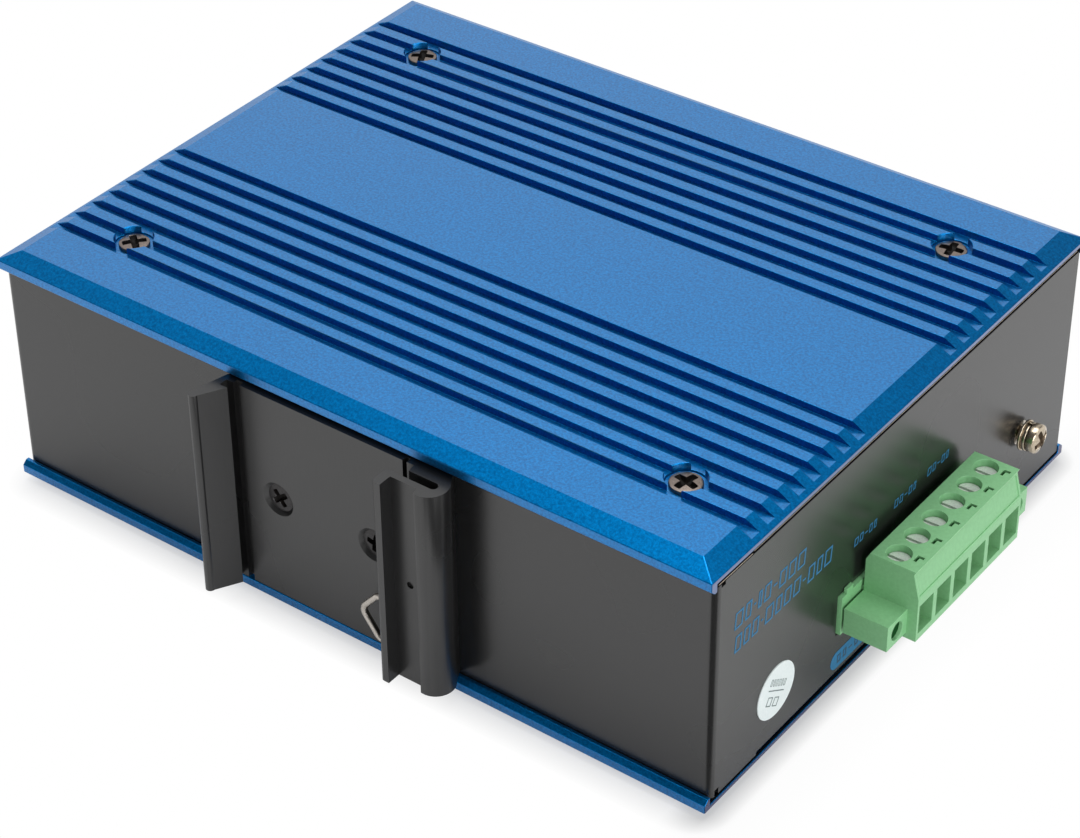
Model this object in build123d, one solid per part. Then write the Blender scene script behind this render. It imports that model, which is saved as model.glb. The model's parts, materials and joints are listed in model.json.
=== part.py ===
from build123d import *
import math
import os

# A rail-mounted network switch that feeds power over its data ports. It lies on one ribbed cover.
# Millimetres. The origin is the centre of the bottom cover's outer face. +X points to the power
# terminal, -Y to the rail clip, +Y to the data ports and +Z up.

# Housing
length = 135.0
width = 105.0
height = 45.0
cover_overhang = 0.2
sheet = 1.0
bend_radius = 1.2
fit_gap = 0.1

# Ribbed covers
plate_thickness = 2.3
chamfer_drop = 1.56
end_chamfer_run = 3.3
side_chamfer_run = 2.8
lip_height = 3.7
lip_thickness = 1.4
lip_bevel_width = 0.8
lip_bevel_height = 0.7
groove_width = 1.9
groove_depth = 1.15
groove_pitch = 3.95
first_groove_y = 12.9
grooves_per_side = 8

# Cover screws and the nuts pressed into the chassis flanges
cover_screw_inset_x = 15.0
cover_screw_inset_y = 15.9
counterbore_radius = 3.2
counterbore_depth = 1.5
screw_radius = 1.5
thread_gap = 0.05
clearance_hole_radius = 1.75
cover_screw_head_radius = 2.5
cover_screw_head_height = 0.7
nut_radius = 2.8
nut_height = 2.2
nut_neck_radius = 2.1
nut_neck_height = 0.9

# Chassis flanges
flange_reach = 19.4
flange_bend_inset = 12.0
flange_ear = 3.2
relief_width = 1.0
relief_depth = 1.6
panel_return = 10.0

# Rail clip, an extrusion along Z. Its section is drawn by x and by the distance out from the rail wall
clip_end_gap = 0.2
clip_centre_x = -0.7
clip_pad = 2.0
clip_groove_depth = 0.9
clip_rail_gap = 1.5
clip_left_block_x = -17.3
clip_left_foot_run = 0.5
clip_left_foot_rise = 0.9
clip_left_notch_x = -18.8
clip_left_wall_x = -19.6
clip_left_tip_x = -20.4
clip_left_tip_out = 8.4
clip_tip_radius = 0.8
clip_right_block_x = 17.1
clip_right_block_run = 0.2
clip_left_groove_x = -17.4
clip_left_groove_width = 1.2
clip_right_groove_x = 14.8
clip_right_groove_width = 0.8
clip_slot_floor = 3.4
clip_slot_end_x = 22.9
clip_web_thickness = 1.1
clip_web_end_x = 14.2
clip_lip_width = 1.6
clip_lip_out = 8.4
clip_lip_radius = 0.7
clip_step_x = 20.6
clip_step_run = 0.3
clip_nose_centre_x = 21.4
clip_nose_radius = 3.1
clip_nose_foot_x = 23.6
clip_base_end_x = 22.6
clip_screw_spacing = 18.6
clip_screw_sink_radius = 2.95
clip_screw_head_radius = 2.5
clip_screw_recess = 0.9
clip_dimple_x = 18.7
clip_dimple_radius = 0.6
clip_dimple_depth = 0.4
spring_wire_radius = 0.45
spring_bow_x = 7.55
spring_bow_rise = 7.5
spring_bow_half_height = 4.0
spring_run_x = 21.2
spring_top_inset = 3.6
spring_shoulder_run = 3.2
spring_tip_rise = 0.3
spring_top_leg = 2.0
spring_end_run = 1.2
spring_end_drop = 1.6
spring_bend_radius = 1.6

# Power terminal: a header on the board that stands through the end wall, and its plug
poles = 6
pole_pitch = 5.08
terminal_y = 2.75
ear_width = 5.41
header_bottom_z = 11.0
header_height = 7.0
header_proud = 0.6
header_depth = 11.9
header_wall = 1.0
header_back_wall = 3.0
header_window_gap = 0.3
header_tab_inset = 1.2
header_tab_length = 1.8
header_tab_height = 0.9
header_foot = 3.0
pin_width = 1.0
pin_gap = 0.2
pin_setback = 1.5
pin_bend_gap = 0.7
pin_tail = 1.2
plug_gap = 0.4
plug_bottom_drop = 0.2
plug_height = 12.7
plug_top_length = 7.7
plug_top_setback = 0.7
plug_lip_run = 0.3
plug_lip_drop = 0.7
plug_slant_run = 0.75
plug_slant_drop = 4.9
slant_panel_end_border = 0.5
slant_panel_top_border = 0.3
slant_panel_bottom_border = 0.45
slant_panel_depth = 0.15
plug_nose_length = 8.5
plug_nose_gap = 0.2
ear_length = 7.45
ear_bottom_rise = 0.9
ear_height = 4.6
ear_hole_radius = 1.55
ear_hole_rise = 2.25
ear_screw_reach = 9.0
ear_screw_depth = 4.8
ear_screw_head_radius = 1.45
ear_screw_head_height = 1.4
ear_screw_shank_radius = 1.1
wire_window_width = 4.0
wire_window_height = 5.2
wire_window_rise = 1.2
wire_window_back = 1.6
clamp_screw_setback = 5.1
clamp_hole_radius = 1.95
clamp_screw_head_radius = 1.85
clamp_screw_head_height = 1.5
clamp_screw_depth = 1.25
clamp_screw_shank_radius = 1.2
clamp_screw_end_gap = 0.4
screw_slot_width = 0.5
screw_slot_depth = 0.9
clamp_cage_gap = 0.1
clamp_cage_length = 4.6
clamp_cage_wall = 0.5
mark_setback = 1.85
mark_offset_y = 0.65
mark_stem = 1.5
mark_arm = 1.15
mark_width = 0.5
mark_depth = 0.9

# Ground screw on the end wall
ground_inset_y = 14.2
ground_z = 15.0
ground_screw_radius = 1.25
ground_head_radius = 2.45
ground_head_height = 1.8
ground_head_out = 2.1
ground_washer_out = 0.65
ground_washer_sag = 0.1
ground_washer_radius = 2.6
ground_washer_thickness = 0.45
spring_washer_radius = 2.4
spring_washer_thickness = 0.75
spring_washer_split = 0.5
washer_bore_gap = 0.15

# Oval sticker on the end wall
sticker_y = -34.5
sticker_z = 11.9
sticker_length = 9.7
sticker_height = 9.2
sticker_thickness = 0.15

# Circuit board
board_bottom_z = 7.4
board_thickness = 1.6
board_side_gap = 2.0
board_port_gap = 0.6
board_rail_gap = 4.0
standoff_radius = 2.75
standoff_inset_x = 9.0
standoff_y = 28.0
board_screw_head_radius = 2.7
board_screw_head_height = 1.8
board_screw_length = 5.0
board_screw_bevel = 0.6

# Data ports: stacked jacks in two rows
port_divider = 2.2
jack_side_wall = 0.9
jack_depth = 25.5
jack_proud = 0.4
jack_shell_thickness = 0.3
jack_window_gap = 0.35
port_width = 11.8
port_height = 6.9
port_depth = 13.0
latch_width = 6.2
latch_height = 1.8
jack_outer_wall = 1.6
jack_middle_wall = 5.0
powered_columns = 4
powered_centre_x = -13.0
uplink_columns = 1
jack_group_gap = 1.6
contacts_per_port = 8
contact_pitch = 1.02
contact_width = 0.4
contact_thickness = 0.3
contact_start = 3.0
contact_lift = 0.3
contact_lead = 0.5
contact_reach = 2.1

# Status lights
light_columns = 2
light_rows = 5
light_pitch_x = 6.0
light_pitch_z = 4.6
light_radius = 1.5
light_proud = 0.6
light_bevel = 0.5
light_gap_x = 3.2
light_first_rise = 3.6
light_holder_depth = 6.0
light_holder_edge = 2.5
light_hole_gap = 0.15

# Parts on the board
transformer_size = (13.4, 12.4, 5.8)
transformer_row_gap = 1.5
transformer_bevel = 0.4
chip_size = 20.0
chip_thickness = 1.7
chip_bevel = 0.3
chip_x = -12.0
chip_gap_y = 3.0
heatsink_size = 19.0
heatsink_base = 2.0
heatsink_height = 9.0
heatsink_fins = 7
heatsink_fin_thickness = 1.0
controller_size = 9.0
controller_thickness = 1.0
controller_xs = (-46.0, 5.0)
controller_gap_y = 1.5
capacitor_radius = 6.25
capacitor_height = 22.0
capacitor_bevel = 0.8
capacitor_xs = (10.0, 25.0, 40.0)
capacitor_gap_y = 0.75
inductor_size = 12.5
inductor_height = 7.5
inductor_corner = 2.0
inductor_xs = (-46.0, -30.0)
inductor_y = -20.0
power_core_size = (21.0, 20.0, 15.0)
power_core_x = 28.0
power_core_gap_y = 1.5
power_core_leg = 5.0
power_winding_gap = 0.4
power_winding_proud = 2.0

# Places worked out from the sizes above
cover_half_length = length / 2
cover_half_width = width / 2
wall_x = cover_half_length - cover_overhang
face_y = cover_half_width - lip_thickness - fit_gap
flange_bend_half_length = face_y - flange_bend_inset
floor_z = plate_thickness
ceiling_z = height - plate_thickness
middle_z = height / 2
clip_bottom_z = lip_height + clip_end_gap
clip_length = height - 2 * clip_bottom_z
spring_top_z = clip_bottom_z + clip_length - spring_top_inset
spring_bow_z = clip_bottom_z + spring_bow_rise
ground_y = face_y - ground_inset_y
board_top_z = board_bottom_z + board_thickness
cover_screw_xs = [side * (cover_half_length - cover_screw_inset_x) for side in (-1, 1)]
cover_screw_ys = [side * (cover_half_width - cover_screw_inset_y) for side in (-1, 1)]
cover_screw_places = [(x, y) for x in cover_screw_xs for y in cover_screw_ys]
jack_height = 2 * (jack_outer_wall + latch_height + port_height) + jack_middle_wall
jack_pitch = port_width + port_divider
jack_side = jack_side_wall + jack_shell_thickness
jack_back_y = face_y + jack_proud - jack_depth
uplink_centre_x = powered_centre_x + (powered_columns + uplink_columns) * jack_pitch / 2 + 2 * jack_side
uplink_centre_x += jack_group_gap
light_half_x = (light_columns - 1) * light_pitch_x / 2 + light_holder_edge
light_centre_x = uplink_centre_x + uplink_columns * jack_pitch / 2 + jack_side + light_gap_x + light_half_x
light_first_z = board_top_z + light_first_rise
header_mouth_x = wall_x + header_proud
plug_back_x = header_mouth_x + plug_gap
plug_half_length = poles * pole_pitch / 2
header_half_length = plug_half_length + ear_width
plug_bottom_z = header_bottom_z - plug_bottom_drop
plug_top_z = plug_bottom_z + plug_height
plug_front_x = plug_back_x + plug_top_setback + plug_top_length + plug_slant_run
pin_z = header_bottom_z + header_height / 2
pin_bend_x = header_mouth_x - header_depth - pin_bend_gap - pin_width / 2
pole_ys = [terminal_y + (pole - (poles - 1) / 2) * pole_pitch for pole in range(poles)]
ear_hole_ys = [terminal_y + side * (header_half_length + plug_half_length) / 2 for side in (-1, 1)]
ear_hole_z = plug_bottom_z + ear_bottom_rise + ear_hole_rise
clamp_x = plug_front_x - clamp_screw_setback
clip_screw_xs = [clip_centre_x + side * clip_screw_spacing / 2 for side in (-1, 1)]
row_front_y = jack_back_y - transformer_row_gap - transformer_size[1]
chip_centre = (chip_x, row_front_y - chip_gap_y - chip_size / 2)
controller_y = row_front_y - controller_gap_y - controller_size / 2
capacitor_y = sheet + board_rail_gap - face_y + capacitor_gap_y + capacitor_radius
power_core_y = capacitor_y + capacitor_radius + power_core_gap_y + power_winding_proud
power_core_y += power_core_size[1] / 2
power_core_centre = (power_core_x, power_core_y)
standoff_places = [
    (side_x * (wall_x - standoff_inset_x), side_y * standoff_y) for side_x in (-1, 1) for side_y in (-1, 1)
]


# Plain solids
def block(x_range, y_range, z_range):
    """A box between two corners."""
    ranges = (x_range, y_range, z_range)
    size = [high - low for low, high in ranges]
    centre = [(low + high) / 2 for low, high in ranges]
    return Pos(*centre) * Box(*size)


def rod(start, direction, radius, reach):
    """A round bar from its start along a direction."""
    place = Plane(origin=start, z_dir=direction)
    return place * Cylinder(radius, reach, align=(Align.CENTER, Align.CENTER, Align.MIN))


def hex_bar(start, direction, radius, reach):
    """A six-sided bar, with its radius out to the corners."""
    return extrude(Plane(origin=start, z_dir=direction) * RegularPolygon(radius, 6), reach)


def prism(points, plane, reach):
    """A closed outline, extruded from its plane."""
    return extrude(plane * make_face(Polyline(*points, close=True)), reach)


def group(pieces):
    """Separate solids that share one node."""
    return Compound([solid for piece in pieces for solid in piece.solids()])


def bevelled_rod(start, direction, radius, reach, bevel):
    """A round bar whose far rim is bevelled."""
    bar = rod(start, direction, radius, reach)
    far_face = bar.faces().sort_by(Axis(start, direction))[-1]
    return chamfer(far_face.edges(), bevel)


def cross_recess(top, inward, head_radius, depth):
    """The two crossed slots of a screw head, as a tool to cut with."""
    place = Plane(origin=top, z_dir=inward)
    arm = 1.2 * head_radius
    slot = 0.32 * head_radius
    bottom = (Align.CENTER, Align.CENTER, Align.MIN)
    return place * (Box(arm, slot, depth, align=bottom) + Box(slot, arm, depth, align=bottom))


def machine_screw(seat, outward, head_radius, head_height, shank_radius, shank_length):
    """A low round head on its seat, a cross recess, and a shank that goes in from the seat."""
    seat = Vector(*seat)
    outward = Vector(*outward)
    head = bevelled_rod(seat, outward, head_radius, head_height, 0.35 * head_height)
    recess = cross_recess(seat + outward * head_height, outward * -1, head_radius, 0.55 * head_height)
    return head - recess + rod(seat, outward * -1, shank_radius, shank_length)


def slotted_screw(top, inward, head_radius, head_height, shank_radius, whole_length):
    """A cheese head with one slot, and its shank."""
    top = Vector(*top)
    inward = Vector(*inward)
    body = rod(top, inward, head_radius, head_height) + rod(top, inward, shank_radius, whole_length)
    place = Plane(origin=top, z_dir=inward)
    bottom = (Align.CENTER, Align.CENTER, Align.MIN)
    slot = Box(2.2 * head_radius, screw_slot_width, screw_slot_depth, align=bottom)
    return body - place * slot


def pressed_nut(face, outward, thread_radius=screw_radius):
    """A nut below a sheet's inner face, with its neck in the sheet and a bore for the thread."""
    face = Vector(*face)
    outward = Vector(*outward)
    neck = rod(face, outward, nut_neck_radius, nut_neck_height)
    nut = hex_bar(face, outward * -1, nut_radius, nut_height) + neck
    bore_start = face - outward * (nut_height + 1)
    return nut - rod(bore_start, outward, thread_radius + thread_gap, nut_height + sheet + 2)


# Covers
def ribbed_cover():
    """One cover with its outer face up at z = 0, its ribs along X and its lips hanging down."""
    side = [
        (cover_half_width - side_chamfer_run, 0),
        (cover_half_width, -chamfer_drop),
        (cover_half_width, lip_bevel_height - lip_height),
        (cover_half_width - lip_bevel_width, -lip_height),
        (cover_half_width - lip_thickness, -lip_height),
        (cover_half_width - lip_thickness, -plate_thickness),
    ]
    outline = side + [(-y, z) for y, z in reversed(side)]
    body = prism(outline, Plane.YZ.offset(-cover_half_length), length)
    body -= cover_grooves()
    body -= end_chamfers()
    for x, y in cover_screw_places:
        body -= rod((x, y, 0), (0, 0, -1), counterbore_radius, counterbore_depth)
        body -= rod((x, y, 0), (0, 0, -1), clearance_hole_radius, plate_thickness + 1)
    return body


def cover_grooves():
    """The grooves between the ribs, which run out at both ends."""
    grooves = Part()
    for side in (-1, 1):
        for count in range(grooves_per_side):
            y = side * (first_groove_y + count * groove_pitch)
            grooves += Pos(0, y, 0) * Box(length + 2, groove_width, 2 * groove_depth)
    return grooves


def end_chamfers():
    """The wedges that come off the outer edges at both ends."""
    wedges = Part()
    for side in (-1, 1):
        corner = side * cover_half_length
        outline = [
            (corner - side * end_chamfer_run, 0),
            (corner, -chamfer_drop),
            (corner + side, -chamfer_drop),
            (corner + side, 1),
            (corner - side * end_chamfer_run, 1),
        ]
        wedges += extrude(Plane.XZ * make_face(Polyline(*outline, close=True)), width, both=True)
    return wedges


def cover_screws(outer_z, outward_z):
    """Four screws in the counterbores of one cover."""
    seat_z = outer_z - outward_z * counterbore_depth
    shank = plate_thickness - counterbore_depth + sheet + nut_height
    return group(
        machine_screw(
            (x, y, seat_z), (0, 0, outward_z),
            cover_screw_head_radius, cover_screw_head_height, screw_radius, shank,
        )
        for x, y in cover_screw_places
    )


def cover_nuts():
    """A pressed nut behind each cover screw."""
    nuts = []
    for x, y in cover_screw_places:
        nuts.append(pressed_nut((x, y, ceiling_z - sheet), (0, 0, 1)))
        nuts.append(pressed_nut((x, y, floor_z + sheet), (0, 0, -1)))
    return group(nuts)


# Chassis
def chassis_frame():
    """One folded sheet: the rail wall, two end walls, and flanges along the end walls."""
    tall = ceiling_z - floor_z
    outer = block((-wall_x, wall_x), (-face_y, face_y), (floor_z, ceiling_z))
    outer = fillet(outer.edges().filter_by(Axis.Z).sort_by(Axis.Y)[:2], bend_radius)
    inner_x = wall_x - sheet
    inner = block((-inner_x, inner_x), (sheet - face_y, face_y + 1), (floor_z - 1, ceiling_z + 1))
    inner = fillet(inner.edges().filter_by(Axis.Z).sort_by(Axis.Y)[:2], bend_radius - sheet)
    frame = outer - inner
    bend_zone = (-flange_bend_half_length, flange_bend_half_length)
    for side in (-1, 1):
        low_x, high_x = sorted((side * (wall_x - bend_radius), side * (wall_x + 1)))
        frame -= block((low_x, high_x), bend_zone, (floor_z - 1, ceiling_z + 1))
        frame += flanged_wall(side, tall)
    frame -= chassis_cuts()
    return frame


def flanged_wall(side, tall):
    """The stretch of an end wall whose top and bottom edges are bent inwards."""
    outer_x = side * wall_x
    inner_end = side * (wall_x - flange_reach)
    centre_x = (outer_x + inner_end) / 2
    outer = Pos(centre_x, middle_z) * Rectangle(flange_reach, tall)
    outer = fillet(outer.vertices().sort_by(Axis.X)[::side][-2:], bend_radius)
    hollow = Pos(centre_x - side * sheet, middle_z) * Rectangle(flange_reach, tall - 2 * sheet)
    hollow = fillet(hollow.vertices().sort_by(Axis.X)[::side][-2:], bend_radius - sheet)
    wall = extrude(Plane.XZ * (outer - hollow), flange_bend_half_length, both=True)
    ear_low, ear_high = sorted((inner_end, outer_x - side * (bend_radius + relief_width)))
    ear_end = flange_bend_half_length + flange_ear
    for z in (floor_z, ceiling_z - sheet):
        wall += block((ear_low, ear_high), (-ear_end, ear_end), (z, z + sheet))
    return wall


def chassis_cuts():
    """Bend reliefs, the terminal window and the holes for nuts."""
    cuts = Part()
    relief_y = face_y - bend_radius - relief_width
    for side in (-1, 1):
        low_x, high_x = sorted((side * (wall_x - bend_radius), side * (wall_x + 1)))
        for z in (floor_z, ceiling_z - relief_depth):
            cuts += block((low_x, high_x), (-relief_y - relief_width, -relief_y), (z, z + relief_depth))
    header_low = terminal_y - header_half_length - header_window_gap
    header_high = terminal_y + header_half_length + header_window_gap
    window_z = (header_bottom_z - header_window_gap, header_bottom_z + header_height + header_window_gap)
    cuts += block((wall_x - bend_radius, wall_x + 1), (header_low, header_high), window_z)
    cuts += rod((wall_x - bend_radius, ground_y, ground_z), (1, 0, 0), nut_neck_radius, bend_radius + 1)
    for x in clip_screw_xs:
        cuts += rod((x, 1 + sheet - face_y, middle_z), (0, -1, 0), nut_neck_radius, sheet + 2)
    for x, y in cover_screw_places:
        cuts += rod((x, y, floor_z - 1), (0, 0, 1), nut_neck_radius, sheet + 2)
        cuts += rod((x, y, ceiling_z + 1), (0, 0, -1), nut_neck_radius, sheet + 2)
    return cuts


def port_panel():
    """The data port face: a flat sheet with a return bent back inside each end wall."""
    half = wall_x - sheet - fit_gap
    low_z = floor_z + fit_gap
    high_z = ceiling_z - fit_gap
    outer = block((-half, half), (face_y - panel_return, face_y), (low_z, high_z))
    outer = fillet(outer.edges().filter_by(Axis.Z).sort_by(Axis.Y)[-2:], bend_radius)
    inner = block((sheet - half, half - sheet), (face_y - panel_return - 1, face_y - sheet), (0, height))
    inner = fillet(inner.edges().filter_by(Axis.Z).sort_by(Axis.Y)[-2:], bend_radius - sheet)
    panel = outer - inner
    for z_range in ((low_z - 1, floor_z + sheet + fit_gap), (ceiling_z - sheet - fit_gap, high_z + 1)):
        for x_range in ((-half - 1, sheet - half), (half - sheet, half + 1)):
            notch_end = flange_bend_half_length + flange_ear + fit_gap
            panel -= block(x_range, (notch_end - panel_return, notch_end), z_range)
    for centre_x, columns in jack_groups():
        half_window = jack_width(columns) / 2 + jack_window_gap
        window_z = (board_top_z - jack_window_gap, board_top_z + jack_height + jack_window_gap)
        panel -= block((centre_x - half_window, centre_x + half_window), (face_y - 2, face_y + 1), window_z)
    for x, z in light_places():
        panel -= rod((x, face_y - 2, z), (0, 1, 0), light_radius + light_hole_gap, 4)
    return panel


# Rail clip
def rail_clip():
    """The hook plate: a fixed hook on the left, a slot for the wire spring and a lip on the right."""
    section = Plane.XY * clip_section()
    clip = Pos(0, -face_y, clip_bottom_z) * mirror(extrude(section, clip_length), Plane.XZ)
    bottom = (Align.CENTER, Align.CENTER, Align.MIN)
    for x in clip_screw_xs:
        head = Vector(x, -face_y - clip_pad, middle_z)
        sink_depth = clip_screw_sink_radius - screw_radius
        sink = Cone(clip_screw_sink_radius, screw_radius, sink_depth, align=bottom)
        clip -= Plane(origin=head, z_dir=(0, 1, 0)) * sink
        clip -= rod(head, (0, 1, 0), clearance_hole_radius, clip_pad)
    web_out = clip_slot_floor + clip_rail_gap + clip_web_thickness
    dimple = Vector(clip_dimple_x, -face_y - web_out, middle_z)
    clip -= rod(dimple, (0, 1, 0), clip_dimple_radius, clip_dimple_depth)
    return clip


def clip_section():
    """The clip's section, with +Y as the way out from the rail wall."""
    groove_floor = clip_pad - clip_groove_depth
    web_in = clip_slot_floor + clip_rail_gap
    web_out = web_in + clip_web_thickness
    slot_radius = clip_rail_gap / 2
    slot_middle = clip_slot_floor + slot_radius
    step_end_x = clip_step_x + clip_step_run
    step_rise = math.sqrt(clip_nose_radius**2 - (clip_nose_centre_x - step_end_x) ** 2)
    foot_drop = math.sqrt(clip_nose_radius**2 - (clip_nose_foot_x - clip_nose_centre_x) ** 2)
    step_end = (step_end_x, slot_middle + step_rise)
    nose_foot = (clip_nose_foot_x, slot_middle - foot_drop)
    lip_far_x = clip_web_end_x + clip_lip_width
    left_tip = (clip_left_tip_x - clip_tip_radius, clip_left_tip_out - clip_tip_radius)
    right_tip = (clip_left_tip_x + clip_tip_radius, clip_left_tip_out - clip_tip_radius)
    hook = Polyline(
        (clip_base_end_x, 0),
        (clip_left_wall_x + clip_left_foot_run, 0),
        (clip_left_wall_x, clip_left_foot_rise),
        left_tip,
    )
    hook_tip = ThreePointArc(left_tip, (clip_left_tip_x, clip_left_tip_out), right_tip)
    floor = Polyline(
        right_tip,
        (clip_left_block_x, clip_pad + clip_rail_gap),
        (clip_left_notch_x, clip_pad + clip_rail_gap),
        (clip_left_notch_x, clip_pad),
        (clip_left_groove_x, clip_pad),
        (clip_left_groove_x, groove_floor),
        (clip_left_groove_x + clip_left_groove_width, groove_floor),
        (clip_left_groove_x + clip_left_groove_width, clip_pad),
        (clip_right_groove_x, clip_pad),
        (clip_right_groove_x, groove_floor),
        (clip_right_groove_x + clip_right_groove_width, groove_floor),
        (clip_right_groove_x + clip_right_groove_width, clip_pad),
        (clip_right_block_x - clip_right_block_run, clip_pad),
        (clip_right_block_x, clip_slot_floor),
        (clip_slot_end_x - slot_radius, clip_slot_floor),
    )
    slot_end = ThreePointArc(
        (clip_slot_end_x - slot_radius, clip_slot_floor),
        (clip_slot_end_x, clip_slot_floor + slot_radius),
        (clip_slot_end_x - slot_radius, web_in),
    )
    lip_inside = Polyline(
        (clip_slot_end_x - slot_radius, web_in),
        (clip_web_end_x, web_in),
        (clip_web_end_x, clip_lip_out - clip_lip_radius),
    )
    lip_corner = ThreePointArc(
        (clip_web_end_x, clip_lip_out - clip_lip_radius),
        (clip_web_end_x + 0.3 * clip_lip_radius, clip_lip_out - 0.3 * clip_lip_radius),
        (clip_web_end_x + clip_lip_radius, clip_lip_out),
    )
    web = Polyline(
        (clip_web_end_x + clip_lip_radius, clip_lip_out),
        (lip_far_x, clip_lip_out),
        (lip_far_x, web_out),
        (clip_step_x, web_out),
        step_end,
    )
    nose = ThreePointArc(step_end, (clip_nose_centre_x + clip_nose_radius, slot_middle), nose_foot)
    foot = Line(nose_foot, (clip_base_end_x, 0))
    return make_face([hook, hook_tip, floor, slot_end, lip_inside, lip_corner, web, nose, foot])


def rail_clip_spring():
    """A bent wire in the slot: a straight run along Z and one bow that reaches out over the pad."""
    slot_y = -face_y - clip_slot_floor - clip_rail_gap / 2
    low = spring_bow_z - spring_bow_half_height
    high = spring_bow_z + spring_bow_half_height
    shoulder_x = spring_bow_x + spring_shoulder_run
    points = [
        (spring_run_x, slot_y, spring_top_z),
        (spring_run_x, slot_y, high + spring_top_leg),
        (shoulder_x, slot_y, high),
        (spring_bow_x, slot_y, spring_bow_z + spring_tip_rise),
        (shoulder_x, slot_y, low),
        (spring_run_x - spring_end_run, slot_y, low - spring_end_drop),
    ]
    path = FilletPolyline(*points, radius=spring_bend_radius)
    start = Plane(origin=points[0], z_dir=(0, 0, -1))
    return sweep(start * Circle(spring_wire_radius), path=path)


def rail_clip_screws():
    """Two countersunk screws through the clip into the rail wall's nuts."""
    screws = []
    sunk = clip_screw_sink_radius - clip_screw_head_radius
    cone_depth = clip_screw_head_radius - screw_radius
    for x in clip_screw_xs:
        top = Vector(x, sunk - face_y - clip_pad - thread_gap, middle_z)
        head = Cone(
            clip_screw_head_radius, screw_radius, cone_depth, align=(Align.CENTER, Align.CENTER, Align.MIN)
        )
        shank = rod(top, (0, 1, 0), screw_radius, clip_pad - sunk + sheet + nut_height)
        screw = Plane(origin=top, z_dir=(0, 1, 0)) * head + shank
        screws.append(screw - cross_recess(top, Vector(0, 1, 0), clip_screw_head_radius, clip_screw_recess))
    return group(screws)


def rail_clip_nuts():
    """Pressed nuts inside the rail wall."""
    return group(pressed_nut((x, sheet - face_y, middle_z), (0, -1, 0)) for x in clip_screw_xs)


# Power terminal
def terminal_header():
    """The board's half: a shroud that is open outwards, an eye at each end and feet on the board."""
    low_y = terminal_y - header_half_length
    high_y = terminal_y + header_half_length
    back_x = header_mouth_x - header_depth
    top_z = header_bottom_z + header_height
    header = block((back_x, header_mouth_x), (low_y, high_y), (header_bottom_z, top_z))
    cavity_y = (terminal_y - plug_half_length, terminal_y + plug_half_length)
    cavity_z = (header_bottom_z + header_wall, top_z - header_wall)
    header -= block((back_x + header_back_wall, header_mouth_x + 1), cavity_y, cavity_z)
    for y in pole_ys:
        half_pin = pin_width / 2
        header -= block(
            (back_x - 1, header_mouth_x),
            (y - half_pin, y + half_pin),
            (pin_z - half_pin, pin_z + half_pin),
        )
    for y in ear_hole_ys:
        hole_start = (header_mouth_x, y, ear_hole_z)
        header -= rod(hole_start, (-1, 0, 0), ear_screw_shank_radius + thread_gap, ear_screw_reach)
    for y in (low_y, high_y - header_foot):
        foot_x = (back_x, wall_x - header_foot)
        header += block(foot_x, (y, y + header_foot), (board_top_z, header_bottom_z))
    tab_y = (low_y + header_tab_inset, low_y + header_tab_inset + header_tab_length)
    header += block((wall_x + fit_gap, header_mouth_x), tab_y, (top_z, top_z + header_tab_height))
    return header


def header_pins():
    """Square pins, bent down through the board behind the shroud."""
    half_pin = pin_width / 2
    low_x = pin_bend_x - half_pin
    pins = []
    for y in pole_ys:
        side = (y - half_pin, y + half_pin)
        straight = block((low_x, header_mouth_x - pin_setback), side, (pin_z - half_pin, pin_z + half_pin))
        down = block((low_x, pin_bend_x + half_pin), side, (board_bottom_z - pin_tail, pin_z))
        pins.append(straight + down)
    return group(pins)


def terminal_plug():
    """The six-pole plug: a slanted body with screw holes and wire windows, ears and a nose."""
    low_y = terminal_y - plug_half_length
    top_back_x = plug_back_x + plug_top_setback
    top_front_x = top_back_x + plug_top_length
    outline = [
        (plug_back_x, plug_bottom_z),
        (plug_front_x, plug_bottom_z),
        (plug_front_x, plug_top_z - plug_slant_drop),
        (top_front_x - plug_lip_run, plug_top_z - plug_lip_drop),
        (top_front_x, plug_top_z),
        (top_back_x, plug_top_z),
        (plug_back_x, plug_top_z - 2 * plug_top_setback),
    ]
    plug = prism(outline, Plane.XZ.offset(-(low_y + 2 * plug_half_length)), 2 * plug_half_length)
    plug -= slant_panel()
    plug += plug_ears()
    plug += plug_nose()
    window_z = (plug_bottom_z + wire_window_rise, plug_bottom_z + wire_window_rise + wire_window_height)
    for y in pole_ys:
        half = wire_window_width / 2
        plug -= block((plug_back_x + wire_window_back, plug_front_x + 1), (y - half, y + half), window_z)
        hole_depth = plug_top_z - window_z[1] + 1.5
        plug -= rod((clamp_x, y, plug_top_z + 1), (0, 0, -1), clamp_hole_radius, hole_depth)
        plug -= top_mark(top_front_x - mark_setback, y + mark_offset_y)
    return plug


def slant_panel():
    """A shallow panel sunk into the slanted face, inside a narrow border."""
    top = Vector(plug_back_x + plug_top_setback + plug_top_length - plug_lip_run, plug_top_z - plug_lip_drop)
    bottom = Vector(plug_front_x, plug_top_z - plug_slant_drop)
    down = (bottom - top).normalized()
    outward = Vector(-down.Y, down.X)
    first = top + down * slant_panel_top_border
    last = bottom - down * slant_panel_bottom_border
    corners = [first + outward, last + outward, last - outward * slant_panel_depth, first - outward * slant_panel_depth]
    half_length = plug_half_length - slant_panel_end_border
    plane = Plane.XZ.offset(-(terminal_y + half_length))
    return prism([(corner.X, corner.Y) for corner in corners], plane, 2 * half_length)


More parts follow.
